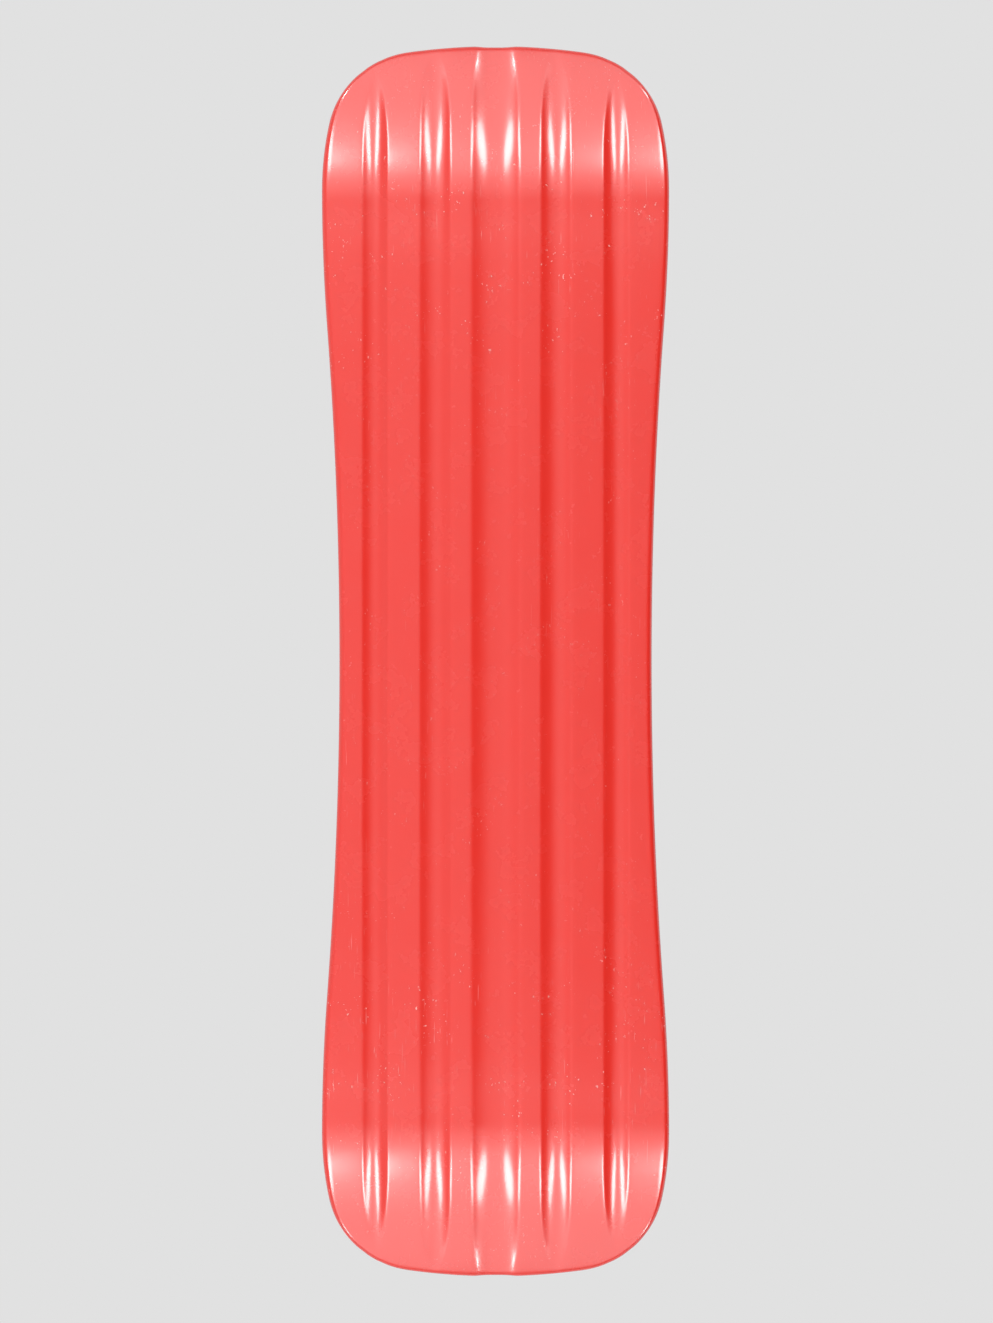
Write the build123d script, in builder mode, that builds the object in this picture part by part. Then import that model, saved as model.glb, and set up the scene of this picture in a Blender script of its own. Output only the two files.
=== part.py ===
from build123d import *
from math import asin, atan2, cos, degrees, hypot, radians, sin, sqrt
import os

# A single-deck snowskate: one moulded sheet that slides on its channelled base,
# with foam grip pads glued to its top. Base down, nose towards +Y, origin on the
# ground under the middle. Millimetres.

# Plan outline of the deck, the same at nose and tail
length = 908.0  # tip to tip
waist_width = 229.4  # narrowest, at mid-length
end_width = 255.1  # widest, near each end
widest_at = 346.0  # from mid-length to the widest point
flare_from = 246.0  # from mid-length to where the waist's curve turns over
shoulder_radius = 238.0  # just past the widest point
corner_radius = 69.0
tip_radius = 460.0  # across the blunt tip

# The moulded sheet
deck_thickness = 7.5
flat_length = 672.0  # running base between the two kicks
kick_radius = 230.0  # of the base, as it turns up into nose and tail
level_band = 60.0  # level strip along the middle of the base
concave_radius = 740.0  # of the base, as it rises to both sides
edge_radius = 3.0  # rounding of the rim, above and below

# Channels moulded into the base
centre_channel_width = 35.0
centre_channel_depth = 2.8
inner_channel_offset = 44.3
inner_channel_width = 22.0
inner_channel_depth = 2.5
inner_channel_margin = 6.0  # from its end to the tip's edge
outer_channel_offset = 88.6
outer_channel_width = 18.0
outer_channel_depth = 2.3
outer_channel_margin = 13.4
run_out_length = 59.0  # over which a channel grows shallow and ends

# Foam grip pads on the top, each on its own sheet of adhesive
pad_margin = 10.0  # bare rim left round the pads
pad_gap = 4.0  # between neighbouring pads
pad_corner_radius = 5.0
pad_thickness = 4.5
pad_bevel = 1.6
adhesive_thickness = 0.25
seat_clearance = 0.05  # left between curved faces that lie on each other
kick_pad_from = 336.0  # from mid-length to the kick pads' inner gap
middle_pad_length = 226.0

# Diamond tread cut into the pads
tread_pitch = 27.0  # between grooves, across them
tread_angle = 32.0  # of the grooves from the board's length
tread_groove_width = 3.2
tread_groove_depth = 1.8

# Cutters reach this far past what they cut
overshoot = 12.0

half_length = length / 2
half_flat = flat_length / 2
half_band = level_band / 2
adhesive_underside = deck_thickness + seat_clearance
adhesive_top = adhesive_underside + adhesive_thickness
pad_underside = adhesive_top + seat_clearance
pad_top = pad_underside + pad_thickness
side_sweep = degrees(asin((end_width / 2 + overshoot - half_band) / concave_radius))
kick_sweep = degrees(asin((half_length + overshoot - half_flat) / kick_radius))
kick_axis = Axis((0, half_flat, kick_radius), (1, 0, 0))
kick_plane = Plane.XZ.offset(-half_flat)


def base_rise(x):
    """Height of the running base above the ground, x from the board's middle line."""
    beyond = max(abs(x) - half_band, 0)
    return concave_radius - sqrt(concave_radius**2 - beyond**2)


def height_above_base(point):
    """How far a point lies above the base, square to it."""
    along = max(abs(point.Y) - half_flat, 0)
    uncurled = kick_radius - hypot(along, kick_radius - point.Z)
    beyond = max(abs(point.X) - half_band, 0)
    return concave_radius - hypot(beyond, concave_radius - uncurled)


def corner_centre():
    """Centre of the corner arc that touches the shoulder and tip arcs from inside."""
    shoulder = Vector(end_width / 2 - shoulder_radius, widest_at)
    tip = Vector(0, half_length - tip_radius)
    to_shoulder = shoulder_radius - corner_radius
    to_tip = tip_radius - corner_radius
    apart = (shoulder - tip).length
    along = (to_tip**2 - to_shoulder**2 + apart**2) / (2 * apart)
    aside = sqrt(to_tip**2 - along**2)
    unit = (shoulder - tip) / apart
    return tip + unit * along + Vector(unit.Y, -unit.X) * aside


def outline_reach(x):
    """How far from mid-length the tip's edge lies, x from the board's middle line."""
    centre = corner_centre()
    touch = centre.X * tip_radius / (tip_radius - corner_radius)
    if x < touch:
        return half_length - tip_radius + sqrt(tip_radius**2 - x**2)
    return centre.Y + sqrt(corner_radius**2 - (x - centre.X) ** 2)


def plan(inset=0.0):
    """The deck's plan, drawn in by inset all round, just below the ground."""
    flare = 2 * atan2((end_width - waist_width) / 2, widest_at)
    waist_radius = flare_from / sin(flare)
    flare_radius = (widest_at - flare_from) / sin(flare)
    centre = corner_centre()
    shoulder_centre_x = end_width / 2 - shoulder_radius
    tip_centre_y = half_length - tip_radius
    shoulder_turn = degrees(atan2(centre.Y - widest_at, centre.X - shoulder_centre_x))
    tip_turn = degrees(atan2(centre.X, centre.Y - tip_centre_y))
    corner_turn = 90 - tip_turn - shoulder_turn
    with BuildSketch(Plane.XY.offset(-overshoot)) as sketch:
        with BuildLine():
            waist = JernArc((waist_width / 2, 0), (0, 1), waist_radius, -degrees(flare))
            flared = JernArc(waist @ 1, waist % 1, flare_radius, degrees(flare))
            shoulder = JernArc(flared @ 1, (0, 1), shoulder_radius, shoulder_turn)
            corner = JernArc(shoulder @ 1, shoulder % 1, corner_radius, corner_turn)
            JernArc(corner @ 1, corner % 1, tip_radius, tip_turn)
            mirror(about=Plane.YZ)
            mirror(about=Plane.XZ)
        make_face()
        if inset:
            offset(amount=-inset)
    return sketch.sketch


def sheet_section(plane, low, high):
    """Section across the board between two heights above the base, at a plane."""
    with BuildSketch(plane) as section:
        with BuildLine():
            floor = Line((0, low), (half_band, low))
            floor_side = JernArc(floor @ 1, (1, 0), concave_radius - low, side_sweep)
            roof = Line((0, high), (half_band, high))
            roof_side = JernArc(roof @ 1, (1, 0), concave_radius - high, side_sweep)
            Line(floor_side @ 1, roof_side @ 1)
            mirror(about=Plane.YZ)
        make_face()
    return section.sketch


def half_sheet(low, high):
    """The untrimmed sheet from mid-length to the nose, between two heights."""
    with BuildPart() as layer:
        extrude(sheet_section(Plane.XZ, low, high), -half_flat)
        revolve(sheet_section(kick_plane, low, high), kick_axis, kick_sweep)
    return layer.part


def channel_cutter(offset, width, depth, margin):
    """Round bar that hollows a channel, and its mirror image across the board.

    It lies along the base and round the kick. With a margin it then leaves the base
    on a slacker curve, so that the channel grows shallow and ends short of the tip;
    without one it runs on past the tip.
    """
    bar_radius = (width**2 / 4 + depth**2) / (2 * depth)
    rise = base_rise(offset)
    lean = asin(max(offset - half_band, 0) / concave_radius)
    curl_radius = kick_radius - rise
    with BuildPart() as cutter:
        with BuildSketch(Plane.XZ) as bar:
            with Locations(
                (
                    offset + (bar_radius - depth) * sin(lean),
                    rise - (bar_radius - depth) * cos(lean),
                )
            ):
                Circle(bar_radius)
        extrude(bar.sketch, -half_flat)
        at_kick = Location((0, half_flat, 0)) * bar.sketch
        if margin is None:
            revolve(at_kick, kick_axis, kick_sweep)
        else:
            end_turn = asin((outline_reach(offset) - margin - half_flat) / curl_radius)
            leave_turn = end_turn - run_out_length / curl_radius
            slack_radius = 1 / (1 / curl_radius - 2 * depth / run_out_length**2)
            outward = Vector(0, -sin(leave_turn), cos(leave_turn))
            slack_centre = kick_axis.position + outward * (slack_radius - curl_radius)
            slack_turn = degrees((run_out_length + overshoot) / slack_radius)
            revolve(at_kick, kick_axis, degrees(leave_turn))
            leaving = at_kick.rotate(kick_axis, degrees(leave_turn))
            revolve(leaving, Axis(slack_centre, (1, 0, 0)), slack_turn)
        mirror(about=Plane.YZ)
    return cutter.part


def rim_edges(part):
    """Edges round the upright walls that trim a sheet, apart from cuts at mid-length."""
    walls = part.faces().filter_by(
        lambda face: abs(face.normal_at().Z) < 1e-4 and face.center().Y > 1e-3
    )
    return ShapeList(
        edge for wall in walls for edge in wall.edges().filter_by(Axis.Z, reverse=True)
    )


def pad_plan(start, end):
    """Plan of one pad, with its corners rounded where it meets its neighbours."""
    inset_plan = plan(pad_margin)
    with BuildSketch(Plane.XY.offset(-overshoot)) as sketch:
        add(inset_plan)
        with Locations((0, (start + end) / 2)):
            Rectangle(end_width, end - start, mode=Mode.INTERSECT)
        ends = sketch.vertices().group_by(Axis.Y)
        corners = ends[0] if end == half_length else ends[0] + ends[-1]
        fillet(corners, pad_corner_radius)
    return sketch.sketch


def tread_cutter():
    """Crossing grooves of the diamond tread, as deep as they cut into every pad."""
    row_pitch = tread_pitch / sin(radians(tread_angle))
    bar_length = (end_width + overshoot) / sin(radians(tread_angle))
    first_row = -int(bar_length / 2 / row_pitch)
    last_row = int((half_length + bar_length / 2) / row_pitch)
    rows = [(0, row * row_pitch) for row in range(first_row, last_row + 1)]
    layer = half_sheet(pad_top - tread_groove_depth, pad_top + overshoot)
    with BuildPart() as cutter:
        with BuildSketch(Plane.XY.offset(-overshoot)):
            for lean in (-tread_angle, tread_angle):
                with Locations(rows):
                    Rectangle(tread_groove_width, bar_length, rotation=lean)
            with Locations((0, half_length / 2)):
                Rectangle(end_width, half_length + overshoot, mode=Mode.INTERSECT)
        extrude(amount=length)
        add(layer, mode=Mode.INTERSECT)
    return cutter.part


os.makedirs("parts", exist_ok=True)

# The deck is made from mid-length to the nose, then mirrored to the tail
channels = (
    (0.0, centre_channel_width, centre_channel_depth, None),
    (inner_channel_offset, inner_channel_width, inner_channel_depth, inner_channel_margin),
    (outer_channel_offset, outer_channel_width, outer_channel_depth, outer_channel_margin),
)
deck_blank = half_sheet(0, deck_thickness)

with BuildPart() as deck:
    add(deck_blank)
    extrude(plan(), amount=length, mode=Mode.INTERSECT)
    fillet(rim_edges(deck.part), edge_radius)
    for offset_x, width, depth, margin in channels:
        add(channel_cutter(offset_x, width, depth, margin), mode=Mode.SUBTRACT)
    mirror(about=Plane.XZ)

deck.part.label = "deck"
export_step(deck.part, "parts/deck.step")

# Each pad and its adhesive: its name, its twin's at the tail end, and its stretch
half_middle = middle_pad_length / 2
pad_stretches = (
    ("nose", "tail", kick_pad_from + pad_gap / 2, half_length),
    ("front", "rear", half_middle + pad_gap, kick_pad_from - pad_gap / 2),
    ("middle", None, -half_middle, half_middle),
)
foam_blank = half_sheet(pad_underside, pad_top)
adhesive_blank = half_sheet(adhesive_underside, adhesive_top)
tread = tread_cutter()

for place, twin, start, end in pad_stretches:
    outline = pad_plan(start, end)

    with BuildPart() as pad:
        add(foam_blank)
        extrude(outline, amount=length, mode=Mode.INTERSECT)
        mid_foam = (pad_underside + pad_top) / 2
        upper_rim = rim_edges(pad.part).filter_by(
            lambda edge: height_above_base(edge @ 0.5) > mid_foam
        )
        chamfer(upper_rim, pad_bevel)
        add(tread, mode=Mode.SUBTRACT)
        if twin is None:
            mirror(about=Plane.XZ)

    with BuildPart() as adhesive:
        add(adhesive_blank)
        extrude(outline, amount=length, mode=Mode.INTERSECT)
        if twin is None:
            mirror(about=Plane.XZ)

    for piece, kind in ((pad, "grip_pad"), (adhesive, "adhesive")):
        piece.part.label = f"{place}_{kind}"
        export_step(piece.part, f"parts/{place}_{kind}.step")
        if twin is not None:
            with BuildPart() as twin_piece:
                mirror(piece.part, about=Plane.XZ)
            twin_piece.part.label = f"{twin}_{kind}"
            export_step(twin_piece.part, f"parts/{twin}_{kind}.step")
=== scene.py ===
import math

import bmesh
import bpy
import numpy as np
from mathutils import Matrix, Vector


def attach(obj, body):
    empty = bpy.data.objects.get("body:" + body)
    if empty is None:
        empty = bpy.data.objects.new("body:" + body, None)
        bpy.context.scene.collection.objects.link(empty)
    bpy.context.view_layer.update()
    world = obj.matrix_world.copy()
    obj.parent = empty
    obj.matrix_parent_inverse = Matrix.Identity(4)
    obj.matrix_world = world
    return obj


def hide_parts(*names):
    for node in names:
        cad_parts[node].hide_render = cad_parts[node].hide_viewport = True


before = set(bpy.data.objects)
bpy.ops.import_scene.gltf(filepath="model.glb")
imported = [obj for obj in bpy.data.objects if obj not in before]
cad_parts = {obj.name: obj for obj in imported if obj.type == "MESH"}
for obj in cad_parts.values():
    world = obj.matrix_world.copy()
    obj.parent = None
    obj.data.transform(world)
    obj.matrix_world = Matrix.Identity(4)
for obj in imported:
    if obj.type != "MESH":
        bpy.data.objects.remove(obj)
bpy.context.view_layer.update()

# The snowskate's shape, in metres, base down and nose towards +Y
length = 0.908
waist_width = 0.2294
end_width = 0.2551
widest_at = 0.346
flare_from = 0.246
shoulder_radius = 0.238
corner_radius = 0.069
tip_radius = 0.460
thickness = 0.0075
half_flat = 0.336
kick_radius = 0.230
concave_radius = 1.400
top_edge_radius = 0.003
base_edge_width = 0.0044
base_edge_height = 0.0038
# How often a side's place is worked out anew, as it depends on itself
fit_passes = 12

# Channels in the base: offset, half width, depth, half width of the level floor
channels = (
    (0.0, 0.0175, 0.0028, 0.0030),
    (0.0443, 0.0110, 0.0025, 0.0),
    (0.0886, 0.0090, 0.0023, 0.0),
)
# How each runs out: distance of its end from the tip's edge, and depth lost there
run_outs = ((0.0, 0.0012), (0.006, 0.0025), (0.0134, 0.0023))
run_out_length = 0.059
# Depth is lost past a channel's end too, up to this many run-out lengths from its start
run_out_limit = 1.6
lip_softness = 0.0007
# A channel that meets the tip's edge draws it in by this share of its depth
edge_draw = 0.4
# The base starts to lift a little before the kicks bend
ease_height = 0.0006
ease_reach = 0.045
# Outside the outer channels the base is more level than the sheet
side_level = 0.040
side_from = 0.098

# Mesh of the deck: rows of the kick and of half the flat, columns of the outer bands,
# steps round each edge, and lines across half a channel as shares of its half width
kick_rows = 60
flat_rows = 28
outer_columns = 9
edge_steps = 7
channel_lines = (0.15, 0.3, 0.45, 0.6, 0.74, 0.85, 0.89, 0.93, 0.97, 1.01, 1.06, 1.11)
# Columns on the ridge inside each channel, and how far from a channel's middle a ridge
# begins, as a share of the half width
ridge_columns = (0, 4, 7)
ridge_start = 1.17
# Least share of its width that a channel's mesh lines keep as it runs out
least_width = 0.34

# Foam grip pads
pad_margin = 0.010
pad_corner = 0.005
pad_underside = 0.00785
pad_top = 0.01235
film_heights = (0.00755, 0.00780)
tread_pitch = 0.027
tread_angle = math.radians(32)
# Where a nose or tail pad's side turns into its end, across the board
pad_turn = 0.088
# The tread is made this much larger than the pad, and its lines run on further
tread_margin = 0.004
tread_run_on = 0.01
# Points along a pad's outline: sides of an end pad, half its end, other sides, corners
end_side_points = 34
end_points = 30
side_points = 50
corner_points = 7
# Outline points nearer a corner than this many corner lengths give way to its round
corner_clearance = 1.02
# Groove section: distance from its middle, and depth there
groove = (
    (0.0, 0.0018),
    (0.0007, 0.00155),
    (0.00135, 0.00060),
    (0.00175, 0.00018),
    (0.0027, 0.00004),
    (0.0095, 0.0),
)
# Rounded upper edge of a pad: drawn in by, height over its top
pad_edge = ((0.0, -0.0014), (0.0003, -0.0006), (0.0009, -0.0001), (0.0019, 0.0004))
# The column that cuts a pad's outline starts this far below the pad
mould_drop = 0.001
# Points closer than this are one, and sharper edges than this stay creased
weld = 1e-5
crease = 0.7
# The adhesive's grid, and how near a cut takes a point as lying on it
film_cell = 0.012
film_snap = 1e-6
# Each pad, its twin at the other end, and where it starts and ends along the sheet, or
# no end where it runs to the tip
pad_stretches = (
    ("nose_pad", "tail_pad", 0.338, None),
    ("front_pad", "rear_pad", 0.117, 0.334),
    ("middle_pad", None, -0.113, 0.113),
)


def place(u, s, h):
    """Bends flat sheet points, across u, along s, h above the base, into the deck's shape."""
    u, s, h = np.broadcast_arrays(
        np.asarray(u, float), np.asarray(s, float), np.asarray(h, float)
    )
    lean = u / concave_radius
    x = (concave_radius - h) * np.sin(lean)
    lift = concave_radius - (concave_radius - h) * np.cos(lean)
    turn = np.maximum(np.abs(s) - half_flat, 0) / kick_radius
    inner = np.minimum(np.abs(s), half_flat)
    y = np.sign(s) * (inner + (kick_radius - lift) * np.sin(turn))
    z = kick_radius - (kick_radius - lift) * np.cos(turn)
    return np.stack([x, y, z], -1)


def corner_centre():
    """Centre of the plan's corner arc, which touches the shoulder and the tip arcs."""
    shoulder = np.array([end_width / 2 - shoulder_radius, widest_at])
    tip = np.array([0, length / 2 - tip_radius])
    to_shoulder = shoulder_radius - corner_radius
    to_tip = tip_radius - corner_radius
    apart = np.hypot(*(shoulder - tip))
    along = (to_tip**2 - to_shoulder**2 + apart**2) / (2 * apart)
    aside = math.sqrt(to_tip**2 - along**2)
    unit = (shoulder - tip) / apart
    return tip + unit * along + np.array([unit[1], -unit[0]]) * aside


corner_x, corner_y = corner_centre()
flare = 2 * math.atan2((end_width - waist_width) / 2, widest_at)
waist_radius = flare_from / math.sin(flare)
flare_radius = (widest_at - flare_from) / math.sin(flare)


def plan_reach(x, inset):
    """How far from mid-length the inset plan's tip lies at x, and its edge's slant."""
    x = np.abs(x)
    touch = corner_x * (tip_radius - inset) / (tip_radius - corner_radius)
    tip = np.sqrt((tip_radius - inset) ** 2 - x**2)
    corner = np.sqrt(np.maximum((corner_radius - inset) ** 2 - (x - corner_x) ** 2, 0))
    reach = np.where(x < touch, length / 2 - tip_radius + tip, corner_y + corner)
    slant = np.where(x < touch, tip / (tip_radius - inset), 1)
    return reach, np.where(x < touch, slant, corner / (corner_radius - inset))


def plan_side(y, inset):
    """Half width of the inset plan at y, and its edge's slant."""
    waist = waist_width / 2 + waist_radius
    waist = waist - np.sqrt((waist_radius + inset) ** 2 - np.minimum(y, flare_from) ** 2)
    flared = end_width / 2 - flare_radius
    flared = flared + np.sqrt((flare_radius - inset) ** 2 - (widest_at - y) ** 2)
    shoulder_x = end_width / 2 - shoulder_radius
    past = np.maximum(y - widest_at, 0)
    shoulder = shoulder_x + np.sqrt((shoulder_radius - inset) ** 2 - past**2)
    swing = math.atan2(corner_y - widest_at, corner_x - shoulder_x)
    touch = widest_at + (shoulder_radius - inset) * math.sin(swing)
    inner = (corner_radius - inset) ** 2 - (y - corner_y) ** 2
    corner = corner_x + np.sqrt(np.maximum(inner, 0))
    side = np.where(y < flare_from, waist, flared)
    side = np.where(y > widest_at, shoulder, side)
    slant = np.where(y > touch, (y - corner_y) / (corner_radius - inset), past / shoulder_radius)
    return np.where(y > touch, corner, side), slant


def edge_inset(slant, turn):
    """How far inside the plan's outline the base's surface ends and its edge begins."""
    dip = slant * np.sin(turn)
    return np.sqrt((base_edge_width**2) * (1 - dip**2) + (base_edge_height * dip) ** 2)


def flat_reach(u, inset, h):
    """Along the flat sheet, how far the inset plan reaches at u; the base if no inset."""
    spot = place(u, 0.0, h)
    x, lift = spot[..., 0], spot[..., 2]
    if inset is None:
        y, slant = plan_reach(x, base_edge_width)
        inset = edge_inset(slant, np.arcsin((y - half_flat) / kick_radius))
    y = plan_reach(x, inset)[0]
    return half_flat + kick_radius * np.arcsin((y - half_flat) / (kick_radius - lift))


def flat_side(s, inset, h):
    """Across the flat sheet, the inset plan's half width at s; the base if no inset."""
    u = np.full_like(s, waist_width / 2)
    drawn = base_edge_width if inset is None else inset
    for _ in range(fit_passes):
        y = place(u, s, h)[..., 1]
        x, slant = plan_side(y, drawn)
        u = concave_radius * np.arcsin(x / (concave_radius - h))
        if inset is None:
            turn = np.maximum(s - half_flat, 0) / kick_radius
            drawn = edge_inset(slant, turn)
    return u


def soft_floor(v, k):
    """Positive part of v, its kink at zero rounded over k to each side."""
    eased = (v + k) ** 2 / (4 * k)
    return np.where(v > k, v, np.where(v > -k, eased, 0.0))


def run_out(number, s):
    """Depth that a channel has lost at s, as it rises towards the tip."""
    margin, lost = run_outs[number]
    offset = channels[number][0]
    end = flat_reach(offset, 0.0, 0.0) - margin
    share = (np.abs(s) - (end - run_out_length)) / run_out_length
    return lost * np.clip(share, 0, run_out_limit) ** 2


def channel_depth(u, s):
    """Depth of the base's channels below its surface."""
    depth = np.zeros(np.broadcast(u, s).shape)
    for number, (offset, half, deep, level) in enumerate(channels):
        off = np.maximum(np.abs(np.abs(u) - offset) - level, 0)
        cut = deep - deep * (off / (half - level)) ** 2
        cut = soft_floor(cut - run_out(number, s), lip_softness)
        depth = np.maximum(depth, cut)
    past = np.clip(np.abs(np.abs(s) - half_flat) / ease_reach, 0, 1)
    eased = ease_height * (1 + np.cos(math.pi * past)) / 2
    return depth + eased - side_level * np.maximum(np.abs(u) - side_from, 0)


def half_width_left(number, s):
    """Half width of a channel at s, where it still has some, for its mesh lines."""
    _, half, deep, level = channels[number]
    left = np.maximum(1 - run_out(number, s) / deep, 0)
    return level + (half - level) * np.maximum(np.sqrt(left), least_width)


def put(name, data):
    """A new object with this data, in the scene."""
    made = bpy.data.objects.new(name, data)
    bpy.context.scene.collection.objects.link(made)
    return made


def new_piece(name, verts, faces, material):
    """A smooth mesh object from points and faces."""
    mesh = bpy.data.meshes.new(name)
    mesh.from_pydata([tuple(v) for v in verts], [], faces)
    mesh.validate()
    mesh.materials.append(material)
    mesh.polygons.foreach_set("use_smooth", [True] * len(mesh.polygons))
    return put(name, mesh)


# Materials


class Nodes:
    """Short ways to add and join the nodes of one material."""

    def __init__(self, name):
        self.material = bpy.data.materials.new(name)
        self.material.use_nodes = True
        self.tree = self.material.node_tree
        self.shader = self.tree.nodes["Principled BSDF"]
        geometry = self.tree.nodes.new("ShaderNodeTexCoord")
        self.place = geometry.outputs["Object"]

    def set(self, **values):
        """Sets the shader's own values."""
        for name, value in values.items():
            self.shader.inputs[name.replace("_", " ")].default_value = value

    def link(self, a, b):
        """Joins an output to an input."""
        self.tree.links.new(a, b)

    def scaled(self, scale, turn=(0, 0, 0), shift=(0, 0, 0)):
        """The place on the object, scaled, turned and shifted."""
        node = self.tree.nodes.new("ShaderNodeMapping")
        node.inputs["Scale"].default_value = scale
        node.inputs["Rotation"].default_value = turn
        node.inputs["Location"].default_value = shift
        self.link(self.place, node.inputs["Vector"])
        return node.outputs["Vector"]

    def noise(self, scale, detail=2.0, rough=0.5, vector=None):
        """Cloudy noise from 0 to 1."""
        node = self.tree.nodes.new("ShaderNodeTexNoise")
        node.inputs["Scale"].default_value = scale
        node.inputs["Detail"].default_value = detail
        node.inputs["Roughness"].default_value = rough
        self.link(vector or self.place, node.inputs["Vector"])
        return node.outputs["Fac"]

    def cells(self, scale):
        """Distance from the middle of the nearest random cell."""
        node = self.tree.nodes.new("ShaderNodeTexVoronoi")
        node.inputs["Scale"].default_value = scale
        self.link(self.place, node.inputs["Vector"])
        return node.outputs["Distance"]

    def ramp(self, value, stops):
        """A value turned into greys or colours, given at stops."""
        node = self.tree.nodes.new("ShaderNodeValToRGB")
        ramp = node.color_ramp
        while len(ramp.elements) < len(stops):
            ramp.elements.new(0.5)
        for element, (at, shade) in zip(ramp.elements, stops):
            element.position = at
            colour = (shade,) * 3 if isinstance(shade, (int, float)) else shade
            element.color = (*colour, 1)
        self.link(value, node.inputs["Fac"])
        return node.outputs["Color"]

    def math(self, kind, a, b=None):
        """A sum worked out from numbers or outputs."""
        node = self.tree.nodes.new("ShaderNodeMath")
        node.operation = kind
        for socket, value in zip(node.inputs, (a, b)):
            if value is None:
                continue
            if isinstance(value, (int, float)):
                socket.default_value = value
            else:
                self.link(value, socket)
        return node.outputs[0]

    def mix(self, share, a, b):
        """A blend of two colours by a share."""
        node = self.tree.nodes.new("ShaderNodeMix")
        node.data_type = "RGBA"
        sockets = (node.inputs[0], node.inputs[6], node.inputs[7])
        for socket, value in zip(sockets, (share, a, b)):
            if isinstance(value, (int, float)):
                socket.default_value = value
            elif isinstance(value, tuple):
                socket.default_value = (*value, 1)
            else:
                self.link(value, socket)
        return node.outputs[2]

    def axis(self, name):
        """The place on the object along one axis."""
        node = self.tree.nodes.new("ShaderNodeSeparateXYZ")
        self.link(self.place, node.inputs[0])
        return node.outputs[name]

    def bump(self, height, strength, distance, before=None):
        """A normal that follows a height, on top of one before it."""
        node = self.tree.nodes.new("ShaderNodeBump")
        node.inputs["Strength"].default_value = strength
        node.inputs["Distance"].default_value = distance
        self.link(height, node.inputs["Height"])
        if before is not None:
            self.link(before, node.inputs["Normal"])
        return node.outputs["Normal"]


def deck_plastic():
    """Glossy red moulded polyethylene, with the light wear of a few outings."""
    n = Nodes("deck_plastic")
    n.set(IOR=1.5, Coat_Weight=1.0, Coat_Roughness=0.15, Coat_IOR=1.7)
    # Cloudy colour of the moulding
    cloud = n.noise(9.0, 3.0)
    red = n.mix(cloud, (0.800, 0.020, 0.011), (0.830, 0.026, 0.015))
    # Fine scratches along the board, in patches, most where the kicks begin
    lines = n.noise(1.0, 2.0, 0.6, n.scaled((1500, 50, 200), (0, 0, 0.012)))
    lines = n.ramp(lines, ((0.70, 0.0), (0.76, 1.0)))
    more = n.noise(1.0, 2.0, 0.6, n.scaled((900, 26, 150), (0, 0, -0.02), (3, 1, 2)))
    more = n.ramp(more, ((0.71, 0.0), (0.78, 1.0)))
    patches = n.noise(1.0, 2.0, 0.5, n.scaled((26, 9, 20)))
    patches = n.ramp(patches, ((0.47, 0.0), (0.66, 1.0)))
    along = n.math("ABSOLUTE", n.axis("Y"))
    most_worn = 0.30
    near = n.math("ABSOLUTE", n.math("SUBTRACT", along, most_worn))
    rub = n.ramp(near, ((0.0, 1.0), (0.06, 0.55), (0.14, 0.16)))
    worn = n.math("MULTIPLY", n.math("MAXIMUM", lines, more), patches)
    worn = n.math("MULTIPLY", worn, rub)
    # Tiny pale nicks of uneven shape, gathered in places
    grit = n.noise(1.0, 2.0, 0.6, n.scaled((560, 380, 560)))
    dots = n.ramp(grit, ((0.685, 0.0), (0.71, 1.0)))
    rare = n.ramp(n.noise(34.0, 1.0), ((0.53, 0.0), (0.58, 1.0)))
    places = n.ramp(near, ((0.05, 1.0), (0.09, 0.3)))
    nicks = n.math("MULTIPLY", n.math("MULTIPLY", dots, rare), places)
    share = n.math("MINIMUM", n.math("ADD", worn, nicks), 1.0)
    mark_strength = 0.75
    mark_colour = (0.95, 0.66, 0.62)
    share = n.math("MULTIPLY", share, mark_strength)
    n.link(n.mix(share, red, mark_colour), n.shader.inputs["Base Color"])
    haze = n.ramp(n.noise(38.0, 4.0, 0.6), ((0.3, 0.24), (0.7, 0.29)))
    rough = n.mix(share, haze, (0.7, 0.7, 0.7))
    n.link(rough, n.shader.inputs["Roughness"])
    # The mould's faint ripple, its fine grain and the scratches' depth
    ripple = n.bump(n.noise(60.0, 2.0), 0.25, 0.0003)
    grain = n.bump(n.noise(900.0, 2.0), 0.12, 0.00012, ripple)
    marks = n.math("MULTIPLY", share, -1.0)
    n.link(n.bump(marks, 0.5, 0.0003, grain), n.shader.inputs["Normal"])
    return n.material


def grip_foam():
    """Closed-cell foam: charcoal, matt, with a fine pitted skin and pale flecks."""
    n = Nodes("grip_foam")
    n.set(IOR=1.45, Specular_IOR_Level=0.35, Sheen_Weight=0.12, Sheen_Roughness=0.5)
    cloud = n.noise(22.0, 3.0)
    base = n.mix(cloud, (0.036, 0.037, 0.041), (0.054, 0.055, 0.060))
    cells = n.cells(1100.0)
    fleck = n.ramp(cells, ((0.10, 1.0), (0.22, 0.0)))
    fleck_strength = 0.35
    fleck_colour = (0.13, 0.13, 0.14)
    fleck = n.math("MULTIPLY", fleck, fleck_strength)
    n.link(n.mix(fleck, base, fleck_colour), n.shader.inputs["Base Color"])
    rough = n.ramp(n.noise(300.0, 3.0), ((0.3, 0.74), (0.7, 0.9)))
    n.link(rough, n.shader.inputs["Roughness"])
    pits = n.bump(cells, 0.5, 0.00025)
    soft = n.bump(n.noise(240.0, 4.0, 0.7), 0.35, 0.0004, pits)
    n.link(soft, n.shader.inputs["Normal"])
    return n.material


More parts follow.
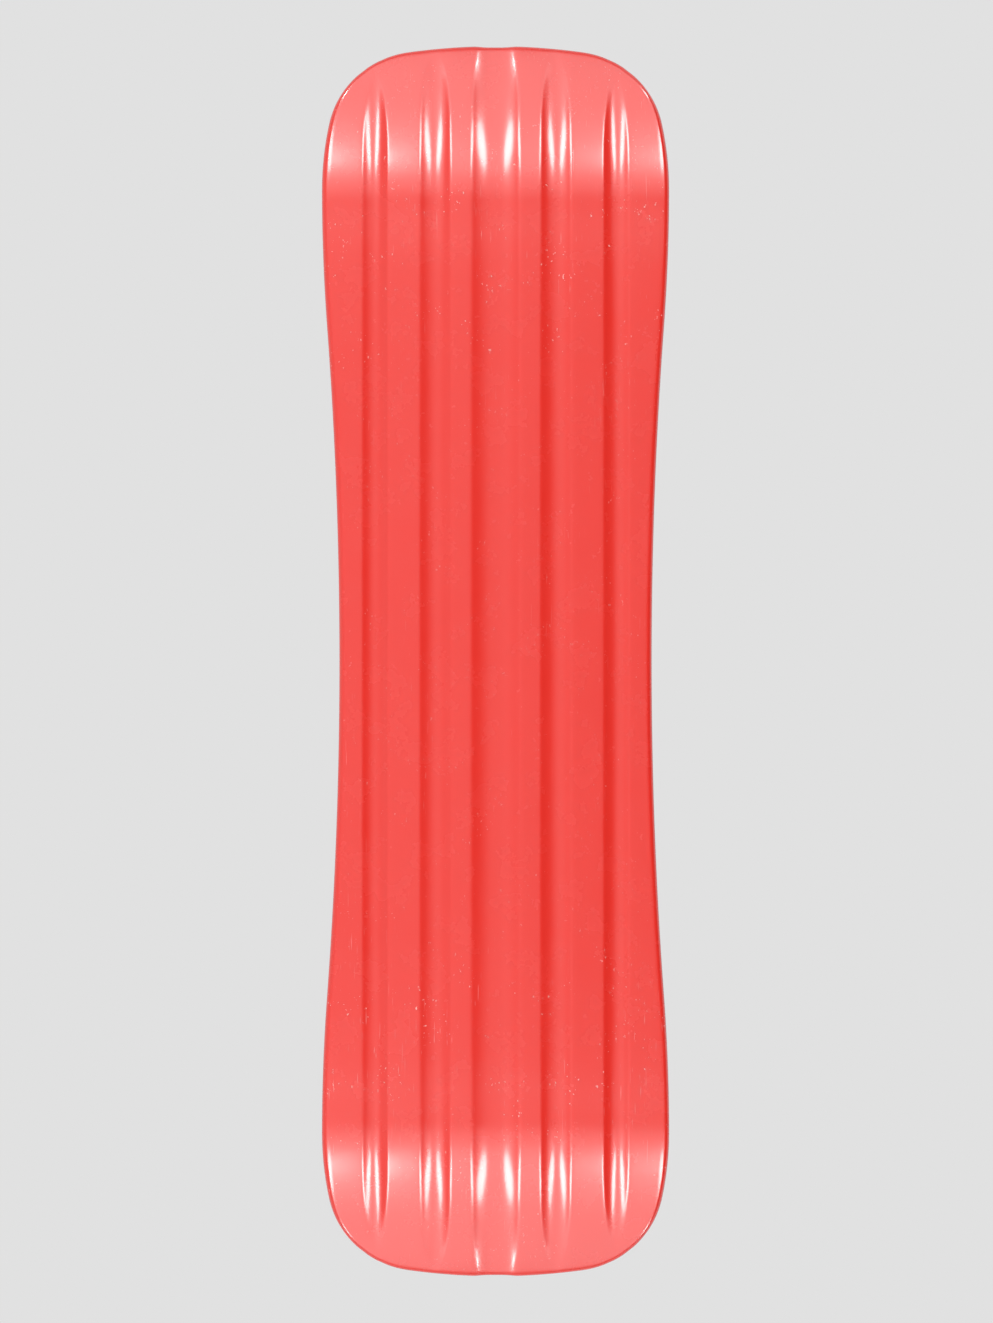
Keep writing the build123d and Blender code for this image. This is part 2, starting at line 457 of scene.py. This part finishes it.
def adhesive_film():
    """Thin pale adhesive film that shows as a line under the pads."""
    n = Nodes("adhesive_film")
    n.set(IOR=1.45)
    base = n.mix(n.noise(70.0, 3.0), (0.66, 0.63, 0.54), (0.75, 0.73, 0.65))
    n.link(base, n.shader.inputs["Base Color"])
    rough = n.ramp(n.noise(160.0, 2.0), ((0.3, 0.45), (0.7, 0.6)))
    n.link(rough, n.shader.inputs["Roughness"])
    n.link(n.bump(n.noise(500.0, 2.0), 0.2, 0.0001), n.shader.inputs["Normal"])
    return n.material


plastic = deck_plastic()
foam = grip_foam()
film = adhesive_film()


# The deck


def column_lines(share):
    """Places of the mesh lines across the board, right half, at a share of the kick."""
    lines = []
    for number, (offset, half, _, _) in enumerate(channels):
        end = flat_reach(offset, None, base_edge_height)
        s = half_flat + (end - half_flat) * share
        now = float(half_width_left(number, s))
        right = [offset + now * f for f in channel_lines]
        left = [offset - now * f for f in reversed(channel_lines)] if offset else []
        if lines:
            before = offset - ridge_start * half
            lines += list(np.linspace(lines[-1], before, ridge_columns[number] + 1)[1:])
        lines += left + [offset] + right + [offset + ridge_start * half]
    return np.array(lines)


def mirrored(line):
    """Places across the whole board from those of its right half."""
    return np.concatenate([-line[:0:-1], line])


shares = np.linspace(0, 1, kick_rows + 1)
columns = [mirrored(column_lines(share)) for share in shares]
column_count = len(columns[0])
ends = flat_reach(columns[-1], None, base_edge_height)

# One half of the rows, from mid-length to the tip: across and along places
across = [columns[0]] * flat_rows
along = [np.full(column_count, half_flat * j / flat_rows) for j in range(flat_rows)]
for line, share in zip(columns, shares):
    across.append(line)
    along.append(half_flat + (ends - half_flat) * share)
across = np.array([*across[:0:-1], *across])
along = np.array([*(-row for row in along[:0:-1]), *along])
row_count = len(across)

verts_u = list(across.ravel())
verts_s = list(along.ravel())


def grid(row, column):
    """Number of the point at a row and column."""
    return row * column_count + column


# Outer bands between the last column and the sides, all rows but the first and last
band = {}
for side in (1, -1):
    column = column_count - 1 if side > 0 else 0
    for row in range(1, row_count - 1):
        s = along[row, column]
        start = abs(across[row, column])
        reach = float(flat_side(np.array([abs(s)]), None, base_edge_height)[0])
        band[side, row, 0] = grid(row, column)
        for k in range(1, outer_columns + 1):
            band[side, row, k] = len(verts_u)
            verts_u.append(side * (start + (reach - start) * k / outer_columns))
            verts_s.append(s)
    for row in (0, row_count - 1):
        for k in range(outer_columns + 1):
            band[side, row, k] = grid(row, column)

surface = []
for row in range(row_count - 1):
    for column in range(column_count - 1):
        surface.append(
            (
                grid(row, column),
                grid(row, column + 1),
                grid(row + 1, column + 1),
                grid(row + 1, column),
            )
        )
    for side in (1, -1):
        for k in range(outer_columns):
            face = [
                band[side, row, k],
                band[side, row, k + 1],
                band[side, row + 1, k + 1],
                band[side, row + 1, k],
            ]
            face = list(dict.fromkeys(face))
            if side < 0:
                face.reverse()
            if len(face) > 2:
                surface.append(tuple(face))

# The edge of the surface, anticlockwise from above
rim = [grid(0, column) for column in range(column_count)]
rim += [band[1, row, outer_columns] for row in range(1, row_count - 1)]
rim += [grid(row_count - 1, column) for column in reversed(range(column_count))]
rim += [band[-1, row, outer_columns] for row in range(row_count - 2, 0, -1)]

flat_u, flat_s = np.array(verts_u), np.array(verts_s)
base_depth = channel_depth(flat_u, flat_s)
rim_u, rim_s, rim_depth = flat_u[rim], flat_s[rim], base_depth[rim]
run_u = np.roll(rim_u, -1) - np.roll(rim_u, 1)
run_s = np.roll(rim_s, -1) - np.roll(rim_s, 1)
run = np.hypot(run_u, run_s)
out_u, out_s = run_s / run, -run_u / run

points = [place(flat_u, flat_s, base_depth)]
rings = [rim]
count = len(flat_u)
full = base_edge_width - edge_draw * np.maximum(rim_depth, 0)
for upper in (False, True):
    for step in range(1, edge_steps + 1):
        angle = math.pi / 2 * step / edge_steps
        if upper:
            out = full - top_edge_radius * (1 - math.cos(angle))
            height = thickness - top_edge_radius * (1 - math.sin(angle))
        else:
            out = full * math.sin(angle)
            height = base_edge_height - rim_depth
            height = rim_depth + height * (1 - math.cos(angle))
        points.append(place(rim_u + out_u * out, rim_s + out_s * out, height))
        rings.append(list(range(count, count + len(rim))))
        count += len(rim)
points.append(place(flat_u, flat_s, thickness))
rings.append([count + i for i in rim])
faces = [tuple(reversed(face)) for face in surface]
faces += [tuple(count + i for i in face) for face in surface]
for low, high in zip(rings, rings[1:]):
    for i in range(len(rim)):
        j = (i + 1) % len(rim)
        faces.append((low[i], low[j], high[j], high[i]))
deck = new_piece("moulded_deck", np.concatenate(points), faces, plastic)
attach(deck, "root")
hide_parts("deck")


# The foam grip pads


def pad_outline(start, end):
    """Corner-rounded outline of a pad on the flat sheet, anticlockwise."""
    h = (pad_underside + pad_top) / 2
    if end is None:
        stop = float(flat_reach(pad_turn, pad_margin, h))
        s = np.linspace(start, stop, end_side_points)
        right = np.stack([flat_side(s, pad_margin, h), s], 1)
        u = np.linspace(pad_turn, 0, end_points)[1:]
        top = np.stack([u, flat_reach(u, pad_margin, h)], 1)
        right = np.concatenate([right, top])
        left = right[::-1][1:] * (-1, 1)
        rounded = (0, -1)
    else:
        s = np.linspace(start, end, side_points)
        right = np.stack([flat_side(s, pad_margin, h), s], 1)
        left = right[::-1] * (-1, 1)
        rounded = (0, len(right) - 1, len(right), -1)
    loop = np.concatenate([right, left])
    rounded = {i % len(loop) for i in rounded}
    clear = pad_corner * corner_clearance
    result = []
    for i, spot in enumerate(loop):
        if i not in rounded:
            if all(np.hypot(*(spot - loop[j])) > clear for j in rounded):
                result.append(spot)
            continue
        before = loop[i - 1] - spot
        after = loop[(i + 1) % len(loop)] - spot
        before, after = before / np.hypot(*before), after / np.hypot(*after)
        for step in np.linspace(0, 1, corner_points):
            a = spot + before * pad_corner
            b = spot + after * pad_corner
            result.append(
                a * (1 - step) ** 2 + 2 * spot * step * (1 - step) + b * step**2
            )
    return np.array(result)


def inset_loop(loop, by):
    """The outline drawn in by a distance."""
    run = np.roll(loop, -1, 0) - np.roll(loop, 1, 0)
    run /= np.hypot(run[:, 0], run[:, 1])[:, None]
    return loop + np.stack([-run[:, 1], run[:, 0]], 1) * by


def tread_lines(low, high):
    """Mesh lines across one family of grooves, each with its depth."""
    lines = []
    for turn in range(math.floor(low / tread_pitch), math.ceil(high / tread_pitch) + 1):
        for off, deep in groove:
            for side in (-1, 1) if off else (1,):
                lines.append((turn * tread_pitch + side * off, deep))
    return sorted(line for line in lines if low <= line[0] <= high)


def tread_slab(loop):
    """A slab with diamond grooves in its top, a little larger than the outline."""
    low, high = loop.min(0) - tread_margin, loop.max(0) + tread_margin
    c, t = math.cos(tread_angle), math.sin(tread_angle)
    corners = [(u, s) for u in (low[0], high[0]) for s in (low[1], high[1])]
    one = [u * c - s * t for u, s in corners]
    two = [u * c + s * t for u, s in corners]
    first = tread_lines(min(one) - tread_run_on, max(one) + tread_run_on)
    second = tread_lines(min(two) - tread_run_on, max(two) + tread_run_on)
    spots = {}
    verts = []

    def crossing(i, j):
        a, b = first[i][0], second[j][0]
        return (a + b) / (2 * c), (b - a) / (2 * t)

    def corner(i, j):
        if (i, j) not in spots:
            spots[i, j] = len(verts)
            u, s = crossing(i, j)
            verts.append((u, s, pad_top - max(first[i][1], second[j][1])))
            verts.append((u, s, pad_underside))
        return spots[i, j]

    def inside(i, j):
        u, s = crossing(i, j)
        return low[0] <= u <= high[0] and low[1] <= s <= high[1]

    kept = set()
    for i in range(len(first) - 1):
        for j in range(len(second) - 1):
            if any(inside(i + p, j + q) for p in (0, 1) for q in (0, 1)):
                kept.add((i, j))
    slab_faces = []
    for i, j in sorted(kept):
        ring = [(i, j), (i + 1, j), (i + 1, j + 1), (i, j + 1)]
        top = [corner(*k) for k in ring]
        slab_faces.append(tuple(top))
        slab_faces.append(tuple(v + 1 for v in reversed(top)))
        beside = [(i, j - 1), (i + 1, j), (i, j + 1), (i - 1, j)]
        for k, cell in enumerate(beside):
            if cell not in kept:
                a, b = top[k], top[(k + 1) % 4]
                slab_faces.append((b, a, a + 1, b + 1))
    return verts, slab_faces


def pad_mould(loop):
    """A column with the pad's outline that narrows at its top."""
    levels = [(0.0, pad_underside - mould_drop)]
    levels += [(by, pad_top + over) for by, over in pad_edge]
    verts, mould_faces = [], []
    size = len(loop)
    for by, height in levels:
        verts += [(*spot, height) for spot in inset_loop(loop, by)]
    for level in range(len(levels) - 1):
        for i in range(size):
            j = (i + 1) % size
            a, b = level * size, (level + 1) * size
            mould_faces.append((a + i, a + j, b + j, b + i))
    mould_faces.append(tuple(reversed(range(size))))
    mould_faces.append(tuple(range((len(levels) - 1) * size, len(levels) * size)))
    return verts, mould_faces


def flat_pad(loop):
    """The pad before it is bent: the grooved slab cut to the outline."""
    slab = new_piece("slab", *tread_slab(loop), foam)
    mould = new_piece("mould", *pad_mould(loop), foam)
    for piece in (slab, mould):
        work = bmesh.new()
        work.from_mesh(piece.data)
        bmesh.ops.recalc_face_normals(work, faces=work.faces)
        work.to_mesh(piece.data)
        work.free()
    cut = slab.modifiers.new("cut", "BOOLEAN")
    cut.operation = "INTERSECT"
    cut.solver = "EXACT"
    cut.object = mould
    bpy.context.view_layer.update()
    shape = slab.evaluated_get(bpy.context.evaluated_depsgraph_get())
    mesh = bpy.data.meshes.new_from_object(shape)
    for piece in (slab, mould):
        bpy.data.objects.remove(piece)
    return mesh


def bent_pad(flat, name, side):
    """A pad bent on to the deck's top, at the nose's side or mirrored to the tail's."""
    mesh = flat.copy()
    mesh.name = name
    work = bmesh.new()
    work.from_mesh(mesh)
    bmesh.ops.remove_doubles(work, verts=work.verts, dist=weld)
    bmesh.ops.dissolve_degenerate(work, dist=weld, edges=work.edges)
    spots = np.array([v.co for v in work.verts])
    for vert, spot in zip(work.verts, place(spots[:, 0], spots[:, 1], spots[:, 2])):
        vert.co = (spot[0], side * spot[1], spot[2])
    bmesh.ops.recalc_face_normals(work, faces=work.faces)
    for edge in work.edges:
        edge.smooth = len(edge.link_faces) == 2 and edge.calc_face_angle(0) < crease
    for face in work.faces:
        face.smooth = True
    work.to_mesh(mesh)
    work.free()
    mesh.materials.clear()
    mesh.materials.append(foam)
    piece = put(name, mesh)
    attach(piece, "root")
    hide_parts(name.replace("pad", "grip_pad"))


def film_sheet(loop, name, side):
    """The thin adhesive sheet between a pad and the deck, as a bent grid."""
    low, high = loop.min(0), loop.max(0)
    work = bmesh.new()
    for height in film_heights:
        ring = [work.verts.new((*spot, height)) for spot in loop]
        face = work.faces.new(ring if height == film_heights[1] else ring[::-1])
        face.smooth = True
    work.verts.ensure_lookup_table()
    size = len(loop)
    for i in range(size):
        j = (i + 1) % size
        ring = (i, j, size + j, size + i)
        work.faces.new([work.verts[k] for k in ring])
    for axis in (0, 1):
        for cut in np.arange(low[axis], high[axis], film_cell)[1:]:
            spot, facing = [0, 0, 0], [0, 0, 0]
            spot[axis], facing[axis] = cut, 1
            geometry = work.verts[:] + work.edges[:] + work.faces[:]
            bmesh.ops.bisect_plane(
                work, geom=geometry, plane_co=spot, plane_no=facing, dist=film_snap
            )
    spots = np.array([v.co for v in work.verts])
    for vert, spot in zip(work.verts, place(spots[:, 0], spots[:, 1], spots[:, 2])):
        vert.co = (spot[0], side * spot[1], spot[2])
    bmesh.ops.recalc_face_normals(work, faces=work.faces)
    mesh = bpy.data.meshes.new(name)
    work.to_mesh(mesh)
    work.free()
    mesh.materials.append(film)
    piece = put(name, mesh)
    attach(piece, "root")
    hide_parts(name.replace("film", "adhesive"))


for first, twin, start, end in pad_stretches:
    outline = pad_outline(start, end)
    flat = flat_pad(outline)
    for name, side in ((first, 1), (twin, -1)):
        if name:
            bent_pad(flat, name, side)
            film_sheet(outline, name.replace("pad", "film"), side)
    bpy.data.meshes.remove(flat)


# Camera below the board, looking straight up at the base, nose at the top
camera_height = 0.030 - 4.877
camera_data = bpy.data.cameras.new("camera")
camera_data.lens = 180
camera_data.clip_end = 100
camera = put("camera", camera_data)
camera.location = (-0.0007, -0.0002, camera_height)
camera.rotation_euler = (0, math.pi, 0)
bpy.context.scene.camera = camera


def grey(value):
    """A plain grey as a colour."""
    return (value, value, value, 1)


# Pale floor, solid from above and clear from below
floor_half = 30
floor_drop = 0.0004
floor_mesh = bpy.data.meshes.new("floor")
floor_corners = ((-1, -1), (1, -1), (1, 1), (-1, 1))
floor_mesh.from_pydata(
    [(x * floor_half, y * floor_half, 0) for x, y in floor_corners], [], [(0, 1, 2, 3)]
)
floor = put("floor", floor_mesh)
floor.location.z = -floor_drop
floor.visible_shadow = False
floor.visible_diffuse = False
floor.visible_glossy = False
ground = bpy.data.materials.new("ground")
ground.use_nodes = True
tree = ground.node_tree
solid = tree.nodes["Principled BSDF"]
solid.inputs["Base Color"].default_value = grey(0.78)
solid.inputs["Roughness"].default_value = 0.9
clear = tree.nodes.new("ShaderNodeBsdfTransparent")
sides = tree.nodes.new("ShaderNodeNewGeometry")
either = tree.nodes.new("ShaderNodeMixShader")
tree.links.new(sides.outputs["Backfacing"], either.inputs[0])
tree.links.new(solid.outputs[0], either.inputs[1])
tree.links.new(clear.outputs[0], either.inputs[2])
tree.links.new(either.outputs[0], tree.nodes["Material Output"].inputs[0])
floor_mesh.materials.append(ground)

# The background that camera, glossy and transmission rays see: pale grey above the
# floor's level, and below it graded across the board, from dark to mid grey
background_level = 0.753
below_stops = ((0.28, 0.02), (0.42, 0.13), (0.51, 0.32), (1.0, 0.54))
below_blend = 0.2
# The even light that all other rays get from the world
plain_light = 0.36
world = bpy.data.worlds.new("world")
bpy.context.scene.world = world
world.use_nodes = True
tree = world.node_tree
sky = tree.nodes.new("ShaderNodeTexCoord")
split = tree.nodes.new("ShaderNodeSeparateXYZ")
tree.links.new(sky.outputs["Generated"], split.inputs[0])
sideways = tree.nodes.new("ShaderNodeMath")
sideways.operation = "MULTIPLY_ADD"
sideways.inputs[1].default_value = 0.5
sideways.inputs[2].default_value = 0.5
tree.links.new(split.outputs["X"], sideways.inputs[0])
shade = tree.nodes.new("ShaderNodeValToRGB")
for _ in below_stops[2:]:
    shade.color_ramp.elements.new(0.5)
for element, (at, value) in zip(shade.color_ramp.elements, below_stops):
    element.position = at
    element.color = grey(value)
tree.links.new(sideways.outputs[0], shade.inputs["Fac"])
below = tree.nodes.new("ShaderNodeMapRange")
below.inputs["From Min"].default_value = 0.0
below.inputs["From Max"].default_value = -below_blend
tree.links.new(split.outputs["Z"], below.inputs["Value"])
both = tree.nodes.new("ShaderNodeMix")
both.data_type = "RGBA"
colours = [socket for socket in both.inputs if socket.type == "RGBA"]
colours[0].default_value = grey(background_level)
mixed = next(socket for socket in both.outputs if socket.type == "RGBA")
backdrop = tree.nodes["Background"]
tree.links.new(below.outputs["Result"], both.inputs[0])
tree.links.new(shade.outputs["Color"], colours[1])
tree.links.new(mixed, backdrop.inputs["Color"])
light = tree.nodes.new("ShaderNodeBackground")
light.inputs["Color"].default_value = grey(plain_light)
path = tree.nodes.new("ShaderNodeLightPath")
seen = path.outputs["Is Camera Ray"]
for kind in ("Is Glossy Ray", "Is Transmission Ray"):
    more = tree.nodes.new("ShaderNodeMath")
    more.operation = "MAXIMUM"
    tree.links.new(seen, more.inputs[0])
    tree.links.new(path.outputs[kind], more.inputs[1])
    seen = more.outputs[0]
either = tree.nodes.new("ShaderNodeMixShader")
tree.links.new(seen, either.inputs[0])
tree.links.new(light.outputs[0], either.inputs[1])
tree.links.new(backdrop.outputs[0], either.inputs[2])
tree.links.new(either.outputs[0], tree.nodes["World Output"].inputs[0])


def turn_to(thing, facing):
    """Turns a light so that it shines along a direction."""
    thing.rotation_mode = "QUATERNION"
    thing.rotation_quaternion = Vector(facing).to_track_quat("-Z", "Y")


def lamp(name, spot, size, power, aim=(0, 0, 0), shape="RECTANGLE"):
    """A soft lamp that faces a point and isn't seen itself."""
    data = bpy.data.lights.new(name, "AREA")
    data.shape = shape
    data.size, data.size_y = size
    data.energy = power
    made = put(name, data)
    made.location = spot
    made.visible_camera = False
    turn_to(made, Vector(aim) - Vector(spot))
    return made


# Broad lamps beyond each end, for the sheen on the kicks: the angles from straight down
# that each spans, its brightness and its width
kick_middle = 0.39
broad_distance = 1.3
broad_power = 2.8
broad_lamps = ((5, 71, 0.8, 1.9), (11, 67, 0.75, 1.3), (18, 60, 0.7, 1.0))
# Narrow bright ovals, seen only as the streaks in the channels
oval_spot = (1.12, 1.83, -3.0)
oval_shift = -0.04
oval_size = (0.82, 1.6)
oval_power = 32
# Small lamps low beyond the corners, seen only as glints near the tips
glint_spot = (1.04, 2.42, -1.02)
glint_size = (0.16, 0.2)
glint_power = 5.5
# Large soft lamps that light the base evenly and don't show in its gloss
soft_lamps = (("left", (3.0, 0, -1.6), 20), ("under", (0.3, 0, -4.0), 53))
soft_size = (2.4, 3.0)

for end in (1, -1):
    aim = Vector((0, end * kick_middle, 0))
    for i, (near, far, level, width) in enumerate(broad_lamps):
        middle, half = math.radians((near + far) / 2), math.radians((far - near) / 2)
        facing = Vector((0, end * math.sin(middle), -math.cos(middle)))
        reach = 2 * broad_distance * math.tan(half)
        power = broad_power * level * width * reach
        spot = aim + facing * broad_distance
        lamp(f"broad_{end}_{i}", spot, (width, reach), power, aim)
    for side in (1, -1):
        x, y, z = oval_spot
        spot = (side * x + oval_shift, end * y, z)
        oval = lamp(f"oval_{end}_{side}", spot, oval_size, oval_power, aim, "ELLIPSE")
        oval.visible_diffuse = False
        x, y, z = glint_spot
        spot = (side * x, end * y, z)
        glint = lamp(f"glint_{end}_{side}", spot, glint_size, glint_power, aim)
        glint.visible_diffuse = False
for name, spot, power in soft_lamps:
    lamp(name, spot, soft_size, power).visible_glossy = False

# Soft light from above for the top side and the floor
sun = bpy.data.lights.new("above", "SUN")
sun.energy = 1.8
sun.angle = 0.7
above = put("above", sun)
above.visible_glossy = False
turn_to(above, (-0.8, 1.0, -3.2))

# The base, brightly lit from below, casts no red light on the floor
deck.visible_diffuse = False

bpy.context.scene.view_settings.view_transform = "Standard"
